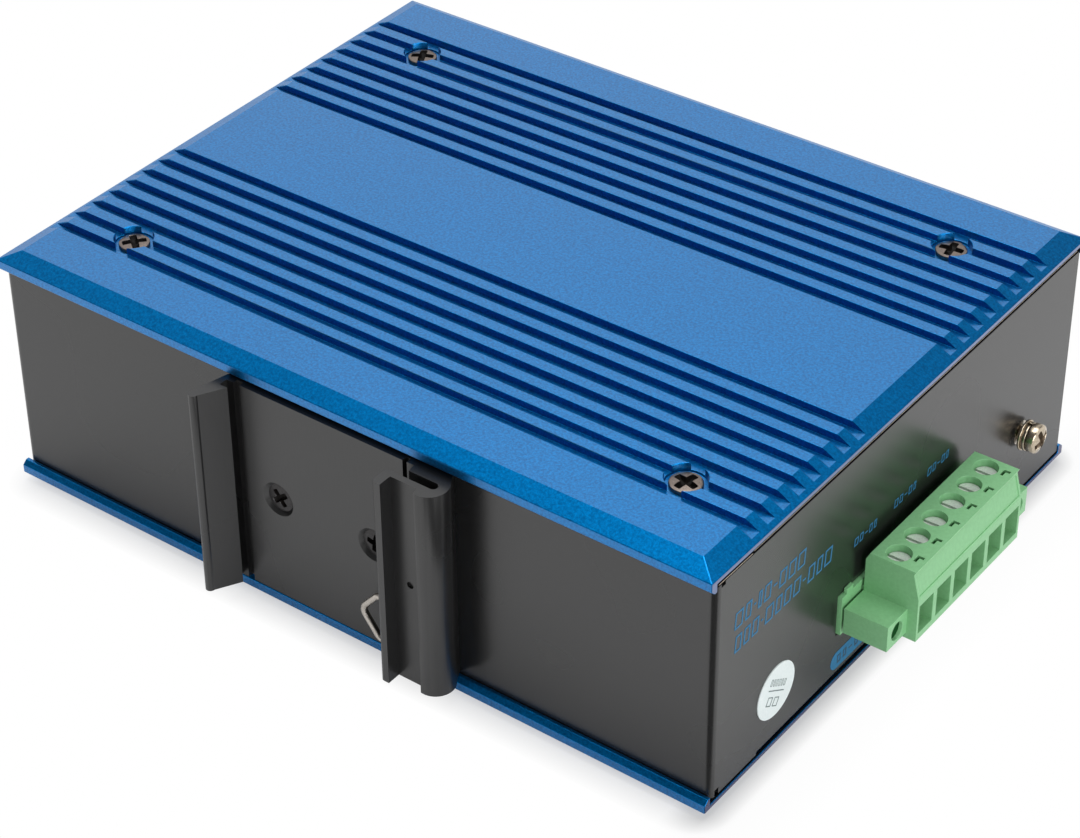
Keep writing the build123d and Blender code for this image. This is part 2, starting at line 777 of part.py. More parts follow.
def plug_ears():
    """The two ears with their screw holes."""
    ears = Part()
    for side, hole_y in zip((-1, 1), ear_hole_ys):
        ends = sorted((terminal_y + side * plug_half_length, terminal_y + side * header_half_length))
        low_z = plug_bottom_z + ear_bottom_rise
        ear = block((plug_back_x, plug_back_x + ear_length), ends, (low_z, low_z + ear_height))
        ear -= rod(
            (plug_back_x + ear_length + 1, hole_y, ear_hole_z), (-1, 0, 0), ear_hole_radius,
            1 + ear_screw_depth + ear_screw_head_height,
        )
        hole_start = (plug_back_x - 1, hole_y, ear_hole_z)
        ear -= rod(hole_start, (1, 0, 0), ear_screw_shank_radius + thread_gap, ear_screw_reach)
        ears += ear
    return ears


def plug_nose():
    """The part of the plug inside the header's shroud, with a socket over each pin."""
    reach = header_wall + plug_nose_gap
    nose_y = (terminal_y - plug_half_length + plug_nose_gap, terminal_y + plug_half_length - plug_nose_gap)
    nose_z = (header_bottom_z + reach, header_bottom_z + header_height - reach)
    nose_back_x = plug_back_x - plug_nose_length
    nose = block((nose_back_x, plug_back_x), nose_y, nose_z)
    half_socket = pin_width / 2 + pin_gap
    for y in pole_ys:
        socket_y = (y - half_socket, y + half_socket)
        nose -= block((nose_back_x - 1, plug_back_x), socket_y, (pin_z - half_socket, pin_z + half_socket))
    return nose


def top_mark(x, y):
    """A small hooked recess beside each screw hole."""
    z_range = (plug_top_z - mark_depth, plug_top_z + 1)
    arm = block((x, x + mark_arm), (y, y + mark_width), z_range)
    stem = block((x, x + mark_width), (y + mark_width - mark_stem, y + mark_width), z_range)
    return arm + stem


def plug_clamp_screws():
    """One slotted screw down each hole, with its end inside the clamp cage."""
    top_z = plug_top_z - clamp_screw_depth
    whole = top_z - plug_bottom_z - wire_window_rise - wire_window_height / 2 - clamp_screw_end_gap
    return group(
        slotted_screw(
            (clamp_x, y, top_z), (0, 0, -1),
            clamp_screw_head_radius, clamp_screw_head_height, clamp_screw_shank_radius, whole,
        )
        for y in pole_ys
    )


def plug_clamp_cages():
    """A metal cage in each wire window, open along the wire and threaded on top."""
    cages = []
    low_z = plug_bottom_z + wire_window_rise
    high_z = low_z + wire_window_height
    x_range = (clamp_x - clamp_cage_length / 2, clamp_x + clamp_cage_length / 2)
    for y in pole_ys:
        half = wire_window_width / 2 - clamp_cage_gap
        z_range = (low_z + clamp_cage_gap, high_z - clamp_cage_gap)
        cage = block(x_range, (y - half, y + half), z_range)
        inner = half - clamp_cage_wall
        cage -= block(
            (x_range[0] - 1, x_range[1] + 1), (y - inner, y + inner),
            (z_range[0] + clamp_cage_wall, z_range[1] - 2 * clamp_cage_wall),
        )
        bore_radius = clamp_screw_shank_radius + thread_gap
        cage -= rod((clamp_x, y, high_z), (0, 0, -1), bore_radius, 4 * clamp_cage_wall)
        cages.append(cage)
    return group(cages)


def plug_flange_screws():
    """The screws that hold the plug to its header, deep in the ears."""
    top_x = plug_back_x + ear_length - ear_screw_depth
    return group(
        slotted_screw(
            (top_x, y, ear_hole_z), (-1, 0, 0),
            ear_screw_head_radius, ear_screw_head_height, ear_screw_shank_radius, ear_screw_reach,
        )
        for y in ear_hole_ys
    )


# Ground screw
def ground_screw():
    """A pan head screw, left standing out for a ground lead."""
    seat = (wall_x + ground_head_out, ground_y, ground_z)
    shank = ground_head_out + sheet + nut_height
    return machine_screw(
        seat, (1, 0, 0), ground_head_radius, ground_head_height, ground_screw_radius, shank
    )


def ground_flat_washer():
    """The flat washer, loose on the shank."""
    place = (wall_x + ground_washer_out, ground_y, ground_z - ground_washer_sag)
    washer = rod(place, (1, 0, 0), ground_washer_radius, ground_washer_thickness)
    return washer - rod(place, (1, 0, 0), ground_screw_radius + washer_bore_gap, ground_washer_thickness)


def ground_spring_washer():
    """The split washer on the flat one."""
    x = wall_x + ground_washer_out + ground_washer_thickness
    place = (x, ground_y, ground_z - ground_washer_sag)
    washer = rod(place, (1, 0, 0), spring_washer_radius, spring_washer_thickness)
    washer -= rod(place, (1, 0, 0), ground_screw_radius + washer_bore_gap, spring_washer_thickness)
    half_split = spring_washer_split / 2
    split_y = (ground_y - half_split, ground_y + half_split)
    return washer - block((x - 1, x + 2), split_y, (ground_z, ground_z + 2 * spring_washer_radius))


def ground_nut():
    """The pressed nut inside the end wall."""
    return pressed_nut((wall_x - sheet, ground_y, ground_z), (1, 0, 0), ground_screw_radius)


def round_sticker():
    """A white oval on the end wall."""
    place = Plane(origin=(wall_x, sticker_y, sticker_z), x_dir=(0, 1, 0), z_dir=(1, 0, 0))
    return extrude(place * Ellipse(sticker_length / 2, sticker_height / 2), sticker_thickness)


# Circuit board and what stands on it
def circuit_board():
    """The board, drilled for its screws and for the terminal's pins."""
    half = wall_x - sheet - board_side_gap
    y_range = (board_rail_gap + sheet - face_y, face_y - sheet - board_port_gap)
    board = block((-half, half), y_range, (board_bottom_z, board_top_z))
    for x, y in standoff_places:
        board -= rod((x, y, 0), (0, 0, 1), clearance_hole_radius, height)
    half_hole = pin_width / 2 + pin_gap
    for y in pole_ys:
        x_range = (pin_bend_x - half_hole, pin_bend_x + half_hole)
        board -= block(x_range, (y - half_hole, y + half_hole), (0, height))
    return board


def board_standoffs():
    """Threaded posts on the chassis's bottom flanges."""
    foot_z = floor_z + sheet
    posts = []
    for x, y in standoff_places:
        post = hex_bar((x, y, foot_z), (0, 0, 1), standoff_radius, board_bottom_z - foot_z)
        posts.append(post - rod((x, y, 0), (0, 0, 1), screw_radius + thread_gap, height))
    return group(posts)


def board_screws():
    """The screws that hold the board on its posts."""
    screws = []
    for x, y in standoff_places:
        seat = (x, y, board_top_z)
        head = bevelled_rod(
            seat, (0, 0, 1), board_screw_head_radius, board_screw_head_height, board_screw_bevel
        )
        screws.append(head + rod(seat, (0, 0, -1), screw_radius, board_screw_length))
    return group(screws)


# Data ports
def jack_groups():
    """Where the two jack blocks stand, and how many columns each has."""
    return [(powered_centre_x, powered_columns), (uplink_centre_x, uplink_columns)]


def jack_width(columns):
    """A jack block's width over its shell."""
    return columns * jack_pitch + 2 * jack_side


def column_xs(centre_x, columns):
    """The middle x of each column of ports."""
    return [centre_x + (column - (columns - 1) / 2) * jack_pitch for column in range(columns)]


def port_places(centre_x, columns):
    """Each port's centre x, its floor z, and 1 in the upper row or -1 in the lower one."""
    low_z = board_top_z + jack_outer_wall + latch_height
    high_z = low_z + port_height + jack_middle_wall
    places = []
    for x in column_xs(centre_x, columns):
        places += [(x, low_z, -1), (x, high_z, 1)]
    return places


def port_hollow(x, floor, row, front_y, depth):
    """A port's space and its latch notch, which faces away from the other row."""
    y_range = (front_y - depth, front_y + 1)
    hollow = block((x - port_width / 2, x + port_width / 2), y_range, (floor, floor + port_height))
    latch_z = floor + (row + 1) / 2 * port_height
    notch_z = sorted((latch_z, latch_z + row * latch_height))
    return hollow + block((x - latch_width / 2, x + latch_width / 2), y_range, notch_z)


def jack_body(centre_x, columns):
    """The plastic block with its ports."""
    half = jack_width(columns) / 2 - jack_shell_thickness
    front_y = face_y + jack_proud - jack_shell_thickness
    back_y = face_y + jack_proud - jack_depth + jack_shell_thickness
    top_z = board_top_z + jack_height - jack_shell_thickness
    body = block((centre_x - half, centre_x + half), (back_y, front_y), (board_top_z, top_z))
    for x, floor, row in port_places(centre_x, columns):
        body -= port_hollow(x, floor, row, front_y, port_depth)
    return body


def jack_shell(centre_x, columns):
    """The folded metal shell over the block, with a window for each port."""
    half = jack_width(columns) / 2
    front_y = face_y + jack_proud
    y_range = (front_y - jack_depth, front_y)
    shell = block((centre_x - half, centre_x + half), y_range, (board_top_z, board_top_z + jack_height))
    inner = half - jack_shell_thickness
    inner_y = (y_range[0] + jack_shell_thickness, y_range[1] - jack_shell_thickness)
    inner_top = board_top_z + jack_height - jack_shell_thickness
    shell -= block((centre_x - inner, centre_x + inner), inner_y, (board_top_z - 1, inner_top))
    for x, floor, row in port_places(centre_x, columns):
        shell -= port_hollow(x, floor, row, front_y, 2.0)
    return shell


def jack_contacts(centre_x, columns):
    """Eight slanted contacts in each port, on the side towards the other row."""
    mouth_y = face_y + jack_proud - jack_shell_thickness
    contacts = []
    for x, floor, row in port_places(centre_x, columns):
        wall_z = floor + (1 - row) / 2 * port_height
        start_y = mouth_y - contact_start
        end_y = mouth_y - port_depth
        outline = [
            (start_y, wall_z),
            (end_y, wall_z + row * contact_reach),
            (end_y, wall_z + row * (contact_reach + contact_thickness)),
            (start_y - contact_lead, wall_z + row * (contact_thickness + contact_lift)),
            (start_y, wall_z + row * contact_thickness),
        ]
        for count in range(contacts_per_port):
            left = x + (count - (contacts_per_port - 1) / 2) * contact_pitch - contact_width / 2
            contacts.append(prism(outline, Plane.YZ.offset(left), contact_width))
    return group(contacts)


# Status lights
def light_places():
    """The lights' centres on the port face."""
    places = []
    for column in range(light_columns):
        x = light_centre_x + (column - (light_columns - 1) / 2) * light_pitch_x
        places += [(x, light_first_z + row * light_pitch_z) for row in range(light_rows)]
    return places


def light_holder():
    """The black block on the board that holds the lights behind the panel."""
    back_y = face_y - sheet - board_port_gap - light_holder_depth
    front_y = face_y - sheet - board_port_gap
    top_z = light_first_z + (light_rows - 1) * light_pitch_z + light_holder_edge
    x_range = (light_centre_x - light_half_x, light_centre_x + light_half_x)
    return block(x_range, (back_y, front_y), (board_top_z, top_z))


def status_lights():
    """Round lights that end in a dome just outside the panel."""
    back_y = face_y - sheet - board_port_gap
    reach = face_y + light_proud - back_y
    return group(
        bevelled_rod((x, back_y, z), (0, 1, 0), light_radius, reach, light_bevel) for x, z in light_places()
    )


# Parts on the board
def line_transformers():
    """A row of line transformers behind the jacks."""
    size_x, size_y, size_z = transformer_size
    back_y = jack_back_y - transformer_row_gap
    boxes = []
    for centre_x, columns in jack_groups():
        for x in column_xs(centre_x, columns):
            box = Pos(x, back_y - size_y / 2, board_top_z) * extrude(Rectangle(size_x, size_y), size_z)
            boxes.append(chamfer(box.faces().sort_by(Axis.Z)[-1].edges(), transformer_bevel))
    return group(boxes)


def switch_chip():
    """The switch chip."""
    x, y = chip_centre
    body = Pos(x, y, board_top_z) * extrude(Rectangle(chip_size, chip_size), chip_thickness)
    return chamfer(body.faces().sort_by(Axis.Z)[-1].edges(), chip_bevel)


def chip_heatsink():
    """The finned heat sink on the chip."""
    x, y = chip_centre
    low = board_top_z + chip_thickness
    sink = Pos(x, y, low) * extrude(Rectangle(heatsink_size, heatsink_size), heatsink_base)
    step = (heatsink_size - heatsink_fin_thickness) / (heatsink_fins - 1)
    for count in range(heatsink_fins):
        fin_x = x - heatsink_size / 2 + heatsink_fin_thickness / 2 + count * step
        fin = Rectangle(heatsink_fin_thickness, heatsink_size)
        sink += Pos(fin_x, y, low) * extrude(fin, heatsink_height)
    return sink


def power_controllers():
    """The two chips that feed power to the ports."""
    outline = Rectangle(controller_size, controller_size)
    return group(
        Pos(x, controller_y, board_top_z) * extrude(outline, controller_thickness) for x in controller_xs
    )


def storage_capacitors():
    """Upright capacitors near the rail wall."""
    return group(
        bevelled_rod(
            (x, capacitor_y, board_top_z), (0, 0, 1), capacitor_radius, capacitor_height, capacitor_bevel
        )
        for x in capacitor_xs
    )


def power_inductors():
    """Two moulded inductors."""
    outline = RectangleRounded(inductor_size, inductor_size, inductor_corner)
    return group(
        Pos(x, inductor_y, board_top_z) * extrude(outline, inductor_height) for x in inductor_xs
    )


def power_transformer():
    """The isolating transformer: a core of two outer legs and yokes around one winding."""
    size_x, size_y, size_z = power_core_size
    x, y = power_core_centre
    core = Pos(x, y, board_top_z) * extrude(Rectangle(size_x, size_y), size_z)
    window_x = size_x - 2 * power_core_leg
    window_z = size_z - 2 * power_core_leg
    core -= Pos(x, y, board_top_z + size_z / 2) * Box(window_x, size_y + 2, window_z)
    winding_x = window_x - 2 * power_winding_gap
    winding = Pos(x, y, board_top_z + power_core_leg)
    winding = winding * extrude(Rectangle(winding_x, size_y + 2 * power_winding_proud), window_z)
    return core + winding


nodes = {
    "top_cover": Pos(0, 0, height) * ribbed_cover(),
    "bottom_cover": Rot(180, 0, 0) * ribbed_cover(),
    "top_cover_screws": cover_screws(height, 1),
    "bottom_cover_screws": cover_screws(0, -1),
    "cover_nuts": cover_nuts(),
    "chassis_frame": chassis_frame(),
    "port_panel": port_panel(),
    "rail_clip": rail_clip(),
    "rail_clip_spring": rail_clip_spring(),
    "rail_clip_screws": rail_clip_screws(),
    "rail_clip_nuts": rail_clip_nuts(),
    "terminal_header": terminal_header(),
    "header_pins": header_pins(),
    "terminal_plug": terminal_plug(),
    "plug_clamp_screws": plug_clamp_screws(),
    "plug_clamp_cages": plug_clamp_cages(),
    "plug_flange_screws": plug_flange_screws(),
    "ground_screw": ground_screw(),
    "ground_flat_washer": ground_flat_washer(),
    "ground_spring_washer": ground_spring_washer(),
    "ground_nut": ground_nut(),
    "round_sticker": round_sticker(),
    "circuit_board": circuit_board(),
    "board_standoffs": board_standoffs(),
    "board_screws": board_screws(),
    "port_jack_body": jack_body(powered_centre_x, powered_columns),
    "port_jack_shell": jack_shell(powered_centre_x, powered_columns),
    "port_jack_contacts": jack_contacts(powered_centre_x, powered_columns),
    "uplink_jack_body": jack_body(uplink_centre_x, uplink_columns),
    "uplink_jack_shell": jack_shell(uplink_centre_x, uplink_columns),
    "uplink_jack_contacts": jack_contacts(uplink_centre_x, uplink_columns),
    "light_holder": light_holder(),
    "status_lights": status_lights(),
    "line_transformers": line_transformers(),
    "switch_chip": switch_chip(),
    "chip_heatsink": chip_heatsink(),
    "power_controllers": power_controllers(),
    "storage_capacitors": storage_capacitors(),
    "power_inductors": power_inductors(),
    "power_transformer": power_transformer(),
}

os.makedirs("parts", exist_ok=True)
for name, shape in nodes.items():
    export_step(shape, f"parts/{name}.step")
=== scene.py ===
import json
import math

import bmesh
import bpy
from mathutils import Matrix, Vector


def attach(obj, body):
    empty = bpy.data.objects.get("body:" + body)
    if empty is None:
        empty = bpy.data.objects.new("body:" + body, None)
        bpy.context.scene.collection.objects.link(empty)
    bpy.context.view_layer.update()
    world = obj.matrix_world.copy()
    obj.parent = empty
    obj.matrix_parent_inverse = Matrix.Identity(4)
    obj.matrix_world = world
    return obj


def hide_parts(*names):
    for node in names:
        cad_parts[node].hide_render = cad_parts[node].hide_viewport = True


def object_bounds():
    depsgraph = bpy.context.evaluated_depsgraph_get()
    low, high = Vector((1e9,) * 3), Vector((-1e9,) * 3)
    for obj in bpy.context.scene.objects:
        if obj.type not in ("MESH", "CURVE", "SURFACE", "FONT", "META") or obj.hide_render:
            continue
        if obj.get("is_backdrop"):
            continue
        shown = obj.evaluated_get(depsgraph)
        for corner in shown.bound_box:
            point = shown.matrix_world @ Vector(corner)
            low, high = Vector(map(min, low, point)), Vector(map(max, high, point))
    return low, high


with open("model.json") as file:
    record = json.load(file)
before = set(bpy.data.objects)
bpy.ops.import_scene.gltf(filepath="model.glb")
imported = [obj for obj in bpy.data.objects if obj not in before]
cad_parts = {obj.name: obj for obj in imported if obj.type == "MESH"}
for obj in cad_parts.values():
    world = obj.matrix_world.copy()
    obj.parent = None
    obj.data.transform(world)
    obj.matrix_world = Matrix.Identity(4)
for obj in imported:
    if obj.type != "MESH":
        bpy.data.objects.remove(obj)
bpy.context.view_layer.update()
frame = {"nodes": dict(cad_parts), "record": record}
nodes = frame["nodes"]
scene = bpy.context.scene
MM = 0.001
for imported in list(bpy.data.materials):
    bpy.data.materials.remove(imported)


# Materials
def linear(red, green, blue):
    """A colour given as 0 to 255 screen values, as the shader's linear values."""
    values = []
    for value in (red, green, blue):
        share = value / 255
        values.append(share / 12.92 if share <= 0.04045 else ((share + 0.055) / 1.055) ** 2.4)
    return (*values, 1.0)


class Nodes:
    """A short way to build one material's node tree."""

    def __init__(self, name):
        self.material = bpy.data.materials.new(name)
        self.material.use_nodes = True
        self.tree = self.material.node_tree
        self.tree.nodes.clear()
        self.output = self.add("ShaderNodeOutputMaterial")
        self.shader = self.add("ShaderNodeBsdfPrincipled")
        self.link(self.shader.outputs["BSDF"], self.output.inputs["Surface"])
        self.coords = self.add("ShaderNodeTexCoord").outputs["Object"]

    def add(self, kind, **settings):
        node = self.tree.nodes.new(kind)
        for key, value in settings.items():
            setattr(node, key, value)
        return node

    def link(self, source, target):
        self.tree.links.new(source, target)

    def math(self, operation, first, second=None):
        node = self.add("ShaderNodeMath", operation=operation)
        self.link(first, node.inputs[0])
        if second is not None:
            self.link(second, node.inputs[1])
        return node.outputs[0]

    def split(self, vector):
        node = self.add("ShaderNodeSeparateXYZ")
        self.link(vector, node.inputs["Vector"])
        return node.outputs

    def stretched(self, scale):
        mapping = self.add("ShaderNodeMapping")
        mapping.inputs["Scale"].default_value = scale
        self.link(self.coords, mapping.inputs["Vector"])
        return mapping.outputs["Vector"]

    def noise(self, size_mm, detail=2.0, rough=0.5, vector=None):
        node = self.add("ShaderNodeTexNoise")
        node.inputs["Scale"].default_value = 1 / (size_mm * MM)
        node.inputs["Detail"].default_value = detail
        node.inputs["Roughness"].default_value = rough
        self.link(vector or self.coords, node.inputs["Vector"])
        return node.outputs["Fac"]

    def spread(self, value, low, high, from_low=0.3, from_high=0.7):
        node = self.add("ShaderNodeMapRange")
        node.inputs["From Min"].default_value = from_low
        node.inputs["From Max"].default_value = from_high
        node.inputs["To Min"].default_value = low
        node.inputs["To Max"].default_value = high
        self.link(value, node.inputs["Value"])
        return node.outputs["Result"]

    def mix(self, share, first, second):
        node = self.add("ShaderNodeMix", data_type="RGBA")
        self.link(share, node.inputs[0])
        for socket, colour in ((node.inputs[6], first), (node.inputs[7], second)):
            if isinstance(colour, tuple):
                socket.default_value = colour
            else:
                self.link(colour, socket)
        return node.outputs[2]

    def mix_shaders(self, share, first, second):
        node = self.add("ShaderNodeMixShader")
        self.link(share, node.inputs[0])
        self.link(first, node.inputs[1])
        self.link(second, node.inputs[2])
        return node.outputs["Shader"]

    def bump(self, height, depth_mm):
        node = self.add("ShaderNodeBump")
        node.inputs["Strength"].default_value = 1.0
        node.inputs["Distance"].default_value = depth_mm * MM
        self.link(height, node.inputs["Height"])
        self.link(node.outputs["Normal"], self.shader.inputs["Normal"])


def surface(name, first, second, roughness, grain_mm, grain_depth, metallic=0.0, blotch_mm=25.0,
            rough_spread=0.06, specular=0.5, stretch=(1, 1, 1)):
    """A finish with fine grain in colour and bump, and slow changes in roughness."""
    tree = Nodes(name)
    grain = tree.noise(grain_mm, 2.0, 0.6, tree.stretched(stretch))
    blotch = tree.noise(blotch_mm, 1.0)
    tree.link(tree.mix(tree.spread(grain, 0.0, 1.0), linear(*first), linear(*second)),
              tree.shader.inputs["Base Color"])
    tree.link(tree.spread(blotch, roughness - rough_spread, roughness + rough_spread),
              tree.shader.inputs["Roughness"])
    tree.shader.inputs["Metallic"].default_value = metallic
    tree.shader.inputs["Specular IOR Level"].default_value = specular
    tree.bump(grain, grain_depth)
    return tree.material


def anodised(name, bare_end_and_shade):
    """Blue dyed anodising on bead-blasted aluminium: fine bright specks. The coat is weighted by face
    direction, so the flat and upright faces show more sheen than the machined slopes, a painted sheen. Where
    the extrusion is cut to length the
    faces take the end colour given: the bare cut metal on the top cover, painted shade on the bottom cover."""
    tree = Nodes(name)
    speck = tree.noise(0.42, 3.0, 0.7)
    blotch = tree.noise(22.0, 2.0)
    tree.link(tree.spread(blotch, 0.36, 0.42), tree.shader.inputs["Roughness"])
    tree.shader.inputs["Metallic"].default_value = 1.0
    facing = tree.split(tree.add("ShaderNodeNewGeometry").outputs["Normal"])
    end_on = tree.math("ABSOLUTE", facing["X"])
    level = tree.math("ABSOLUTE", facing["Z"])
    blues = tree.mix(tree.spread(speck, 0.0, 1.0, 0.35, 0.65), linear(0, 102, 166), linear(0, 132, 206))
    # Faces that look along X take the end colour: bare cut metal on the top cover, painted shade on the
    # bottom cover
    tree.link(tree.mix(tree.spread(end_on, 0.0, 1.0, 0.90, 0.97), blues, linear(*bare_end_and_shade)),
              tree.shader.inputs["Base Color"])
    # Painted sheen: the coat is full on flat and upright faces and thin on the slopes
    sheen_by_facing = tree.math("MAXIMUM", tree.spread(level, 0.05, 1.0, 0.93, 0.99),
                     tree.spread(level, 1.0, 0.05, 0.15, 0.45))
    tree.link(sheen_by_facing, tree.shader.inputs["Coat Weight"])
    tree.shader.inputs["Coat Roughness"].default_value = 0.2
    tree.shader.inputs["Coat IOR"].default_value = 1.4
    tree.bump(speck, 0.018)
    return tree.material


# Each finish: its two colours, roughness, grain size and grain depth in millimetres, and what is unusual
SURFACES = {
    "chassis_black": ((22, 22, 22), (29, 29, 29), 0.27, 0.35, 0.0025,
                      {"specular": 0.8, "rough_spread": 0.01, "blotch_mm": 30.0}),
    "clip_black": ((20, 20, 21), (27, 27, 27), 0.3, 0.22, 0.006,
                   {"specular": 0.8, "rough_spread": 0.04, "stretch": (1, 1, 0.06)}),
    "screw_dark": ((118, 108, 102), (142, 130, 122), 0.36, 0.25, 0.006, {"metallic": 1.0}),
    "screw_black": ((44, 43, 44), (62, 60, 60), 0.3, 0.2, 0.006, {"metallic": 0.6}),
    "screw_bright": ((196, 188, 174), (218, 210, 196), 0.24, 0.3, 0.004, {"metallic": 1.0}),
    "screw_warm": ((176, 162, 142), (212, 198, 176), 0.3, 0.3, 0.006, {"metallic": 1.0}),
    # The recess finishes are darker than their heads: painted shade in the cross recesses
    "recess_shade_dark": ((16, 14, 13), (26, 22, 20), 0.5, 0.2, 0.004, {"specular": 0.1}),
    "recess_shade_warm": ((84, 70, 56), (110, 94, 76), 0.4, 0.2, 0.004, {"metallic": 0.7}),
    "clamp_silver": ((206, 214, 206), (226, 232, 226), 0.42, 0.3, 0.004, {"metallic": 0.35}),
    "seam_dark": ((9, 9, 10), (14, 14, 15), 0.6, 0.4, 0.004, {"specular": 0.0}),
    # A light strip on the wall's top edge: the bare edge's colour with a painted highlight along the bend
    "sheet_edge_and_highlight": ((170, 158, 140), (190, 178, 160), 0.45, 0.3, 0.004, {"metallic": 0.3}),
    "mark_shade": ((24, 66, 32), (30, 74, 38), 0.6, 0.3, 0.004, {"specular": 0.0}),
    "spring_steel": ((176, 170, 162), (204, 198, 190), 0.28, 0.2, 0.003, {"metallic": 1.0}),
    "terminal_green": ((126, 186, 132), (134, 194, 140), 0.34, 0.6, 0.004, {"rough_spread": 0.05}),
    "sticker_white": ((218, 228, 228), (226, 234, 234), 0.5, 0.4, 0.002, {}),
    "print_blue": ((44, 108, 148), (50, 116, 156), 0.55, 0.25, 0.001, {"specular": 0.2}),
    "print_dark": ((30, 62, 84), (38, 70, 92), 0.4, 0.25, 0.001, {}),
    "print_grey": ((96, 112, 112), (112, 128, 128), 0.5, 0.2, 0.001, {}),
    "board_green": ((14, 84, 48), (20, 98, 58), 0.3, 3.0, 0.01, {}),
    "jack_plastic": ((26, 26, 27), (34, 34, 35), 0.45, 0.3, 0.008, {}),
    "jack_shell": ((190, 190, 186), (206, 206, 202), 0.28, 0.4, 0.004, {"metallic": 1.0}),
    "contact_gold": ((222, 178, 84), (236, 194, 104), 0.24, 0.3, 0.002, {"metallic": 1.0}),
    "light_lens": ((120, 176, 96), (136, 190, 112), 0.18, 0.6, 0.002, {}),
    "chip_black": ((30, 30, 32), (38, 38, 40), 0.5, 0.2, 0.01, {}),
    "bare_aluminium": ((196, 198, 200), (212, 214, 216), 0.34, 0.3, 0.006,
                       {"metallic": 1.0, "stretch": (1, 0.1, 1)}),
    "capacitor_sleeve": ((28, 32, 44), (34, 38, 52), 0.25, 1.0, 0.003, {}),
    "ferrite": ((58, 58, 60), (70, 70, 72), 0.6, 0.25, 0.02, {}),
}
finishes = {
    "cover_blue": anodised("cover_blue", (104, 122, 168)),
    # The bottom cover's copy has dark navy cut ends: painted shade
    "cover_blue_shaded_end": anodised("cover_blue_shaded_end", (22, 34, 104)),
}
for name, (*numbers, unusual) in SURFACES.items():
    finishes[name] = surface(name, *numbers, **unusual)

# Every node takes its material slot's finish, apart from a few
OTHER_FINISHES = {
    # Painted shade: the bottom cover's cut ends are dark navy
    "bottom_cover": "cover_blue_shaded_end",
    "plug_clamp_screws": "clamp_silver",
    "ground_flat_washer": "screw_warm",
    "ground_spring_washer": "screw_warm",
}
for row in frame["record"]["subparts"]:
    materials = nodes[row["node"]].data.materials
    materials.clear()
    materials.append(finishes[OTHER_FINISHES.get(row["node"], row["material_slot"])])


# Soft edges on the carried-over pieces
def soften(name, width_mm):
    """Rounds a node's sharp edges without changing its mesh."""
    piece = nodes[name]
    weld = piece.modifiers.new("weld", "WELD")
    weld.merge_threshold = 0.002 * MM
    bevel = piece.modifiers.new("bevel", "BEVEL")
    bevel.width = width_mm * MM
    bevel.segments = 2
    bevel.limit_method = "ANGLE"
    bevel.angle_limit = math.radians(30)
    bevel.use_clamp_overlap = True
    bevel.harden_normals = True


for name, width in (
        ("top_cover", 0.14), ("bottom_cover", 0.14), ("rail_clip", 0.18), ("terminal_plug", 0.12),
        ("terminal_header", 0.12), ("ground_flat_washer", 0.12), ("ground_spring_washer", 0.15),
        ("plug_clamp_screws", 0.12), ("plug_flange_screws", 0.1), ("port_jack_shell", 0.05),
        ("uplink_jack_shell", 0.05), ("light_holder", 0.2), ("power_inductors", 0.3)):
    soften(name, width)

# The wire is drawn a little thicker than its section, as the photograph shows it
WIRE_EXTRA = 0.1
thicker = nodes["rail_clip_spring"].modifiers.new("thicker", "DISPLACE")
thicker.strength = WIRE_EXTRA * MM
thicker.mid_level = 0.0


# Detail pieces, in millimetres
def finish_piece(name, maker, material, replaced=(), second=None):
    """Makes one rigid piece of a new mesh and gives it to the root body."""
    mesh = bpy.data.meshes.new(name)
    maker.normal_update()
    bmesh.ops.recalc_face_normals(maker, faces=maker.faces)
    maker.to_mesh(mesh)
    maker.free()
    mesh.polygons.foreach_set("use_smooth", [True] * len(mesh.polygons))
    mesh.set_sharp_from_angle(angle=math.radians(35))
    for finish in (material, second):
        if finish:
            mesh.materials.append(finishes[finish])
    piece = bpy.data.objects.new(name, mesh)
    scene.collection.objects.link(piece)
    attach(piece, "root")
    if replaced:
        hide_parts(*replaced)


def ring_stack(maker, place, rings, recessed):
    """Joins rings of points into one closed skin, with the second material on the first few bands."""
    loops = [[maker.verts.new(place @ Vector(point)) for point in ring] for ring in rings]
    count = len(loops[0])
    for row, (inner, outer) in enumerate(zip(loops, loops[1:])):
        for k in range(count):
            after = (k + 1) % count
            face = maker.faces.new((inner[k], inner[after], outer[after], outer[k]))
            face.material_index = 1 if row < recessed else 0
    for loop, level in ((loops[0], rings[0][0][2]), (loops[-1], rings[-1][0][2])):
        middle = maker.verts.new(place @ Vector((0, 0, level)))
        for k in range(count):
            face = maker.faces.new((loop[k], loop[(k + 1) % count], middle))
            face.material_index = 1 if recessed and loop is loops[0] else 0


CROSS_HALF_WIDTH = 0.30  # as a share of the recess's arm
RECESS_BANDS = 3


def cross_angles():
    """Angles that follow a cross-shaped recess with a few steps on each side of its corners."""
    arm_half = math.degrees(math.atan(CROSS_HALF_WIDTH))
    steps = [-45, -38, -31, -24, -arm_half, -8, 0, 8, arm_half, 24, 31, 38]
    return [math.radians(90 * quarter + step) for quarter in range(4) for step in steps]


def cross_radius(angle, arm):
    """How far a cross-shaped outline is from its middle at an angle."""
    turn = (angle + math.pi / 4) % (math.pi / 2) - math.pi / 4
    reach = arm / math.cos(turn)
    side = CROSS_HALF_WIDTH * arm / abs(math.sin(turn)) if abs(math.sin(turn)) > 1e-6 else reach
    return min(reach, side, arm)


def circle_ring(angles, radius, height):
    return [(radius * math.cos(angle), radius * math.sin(angle), height) for angle in angles]


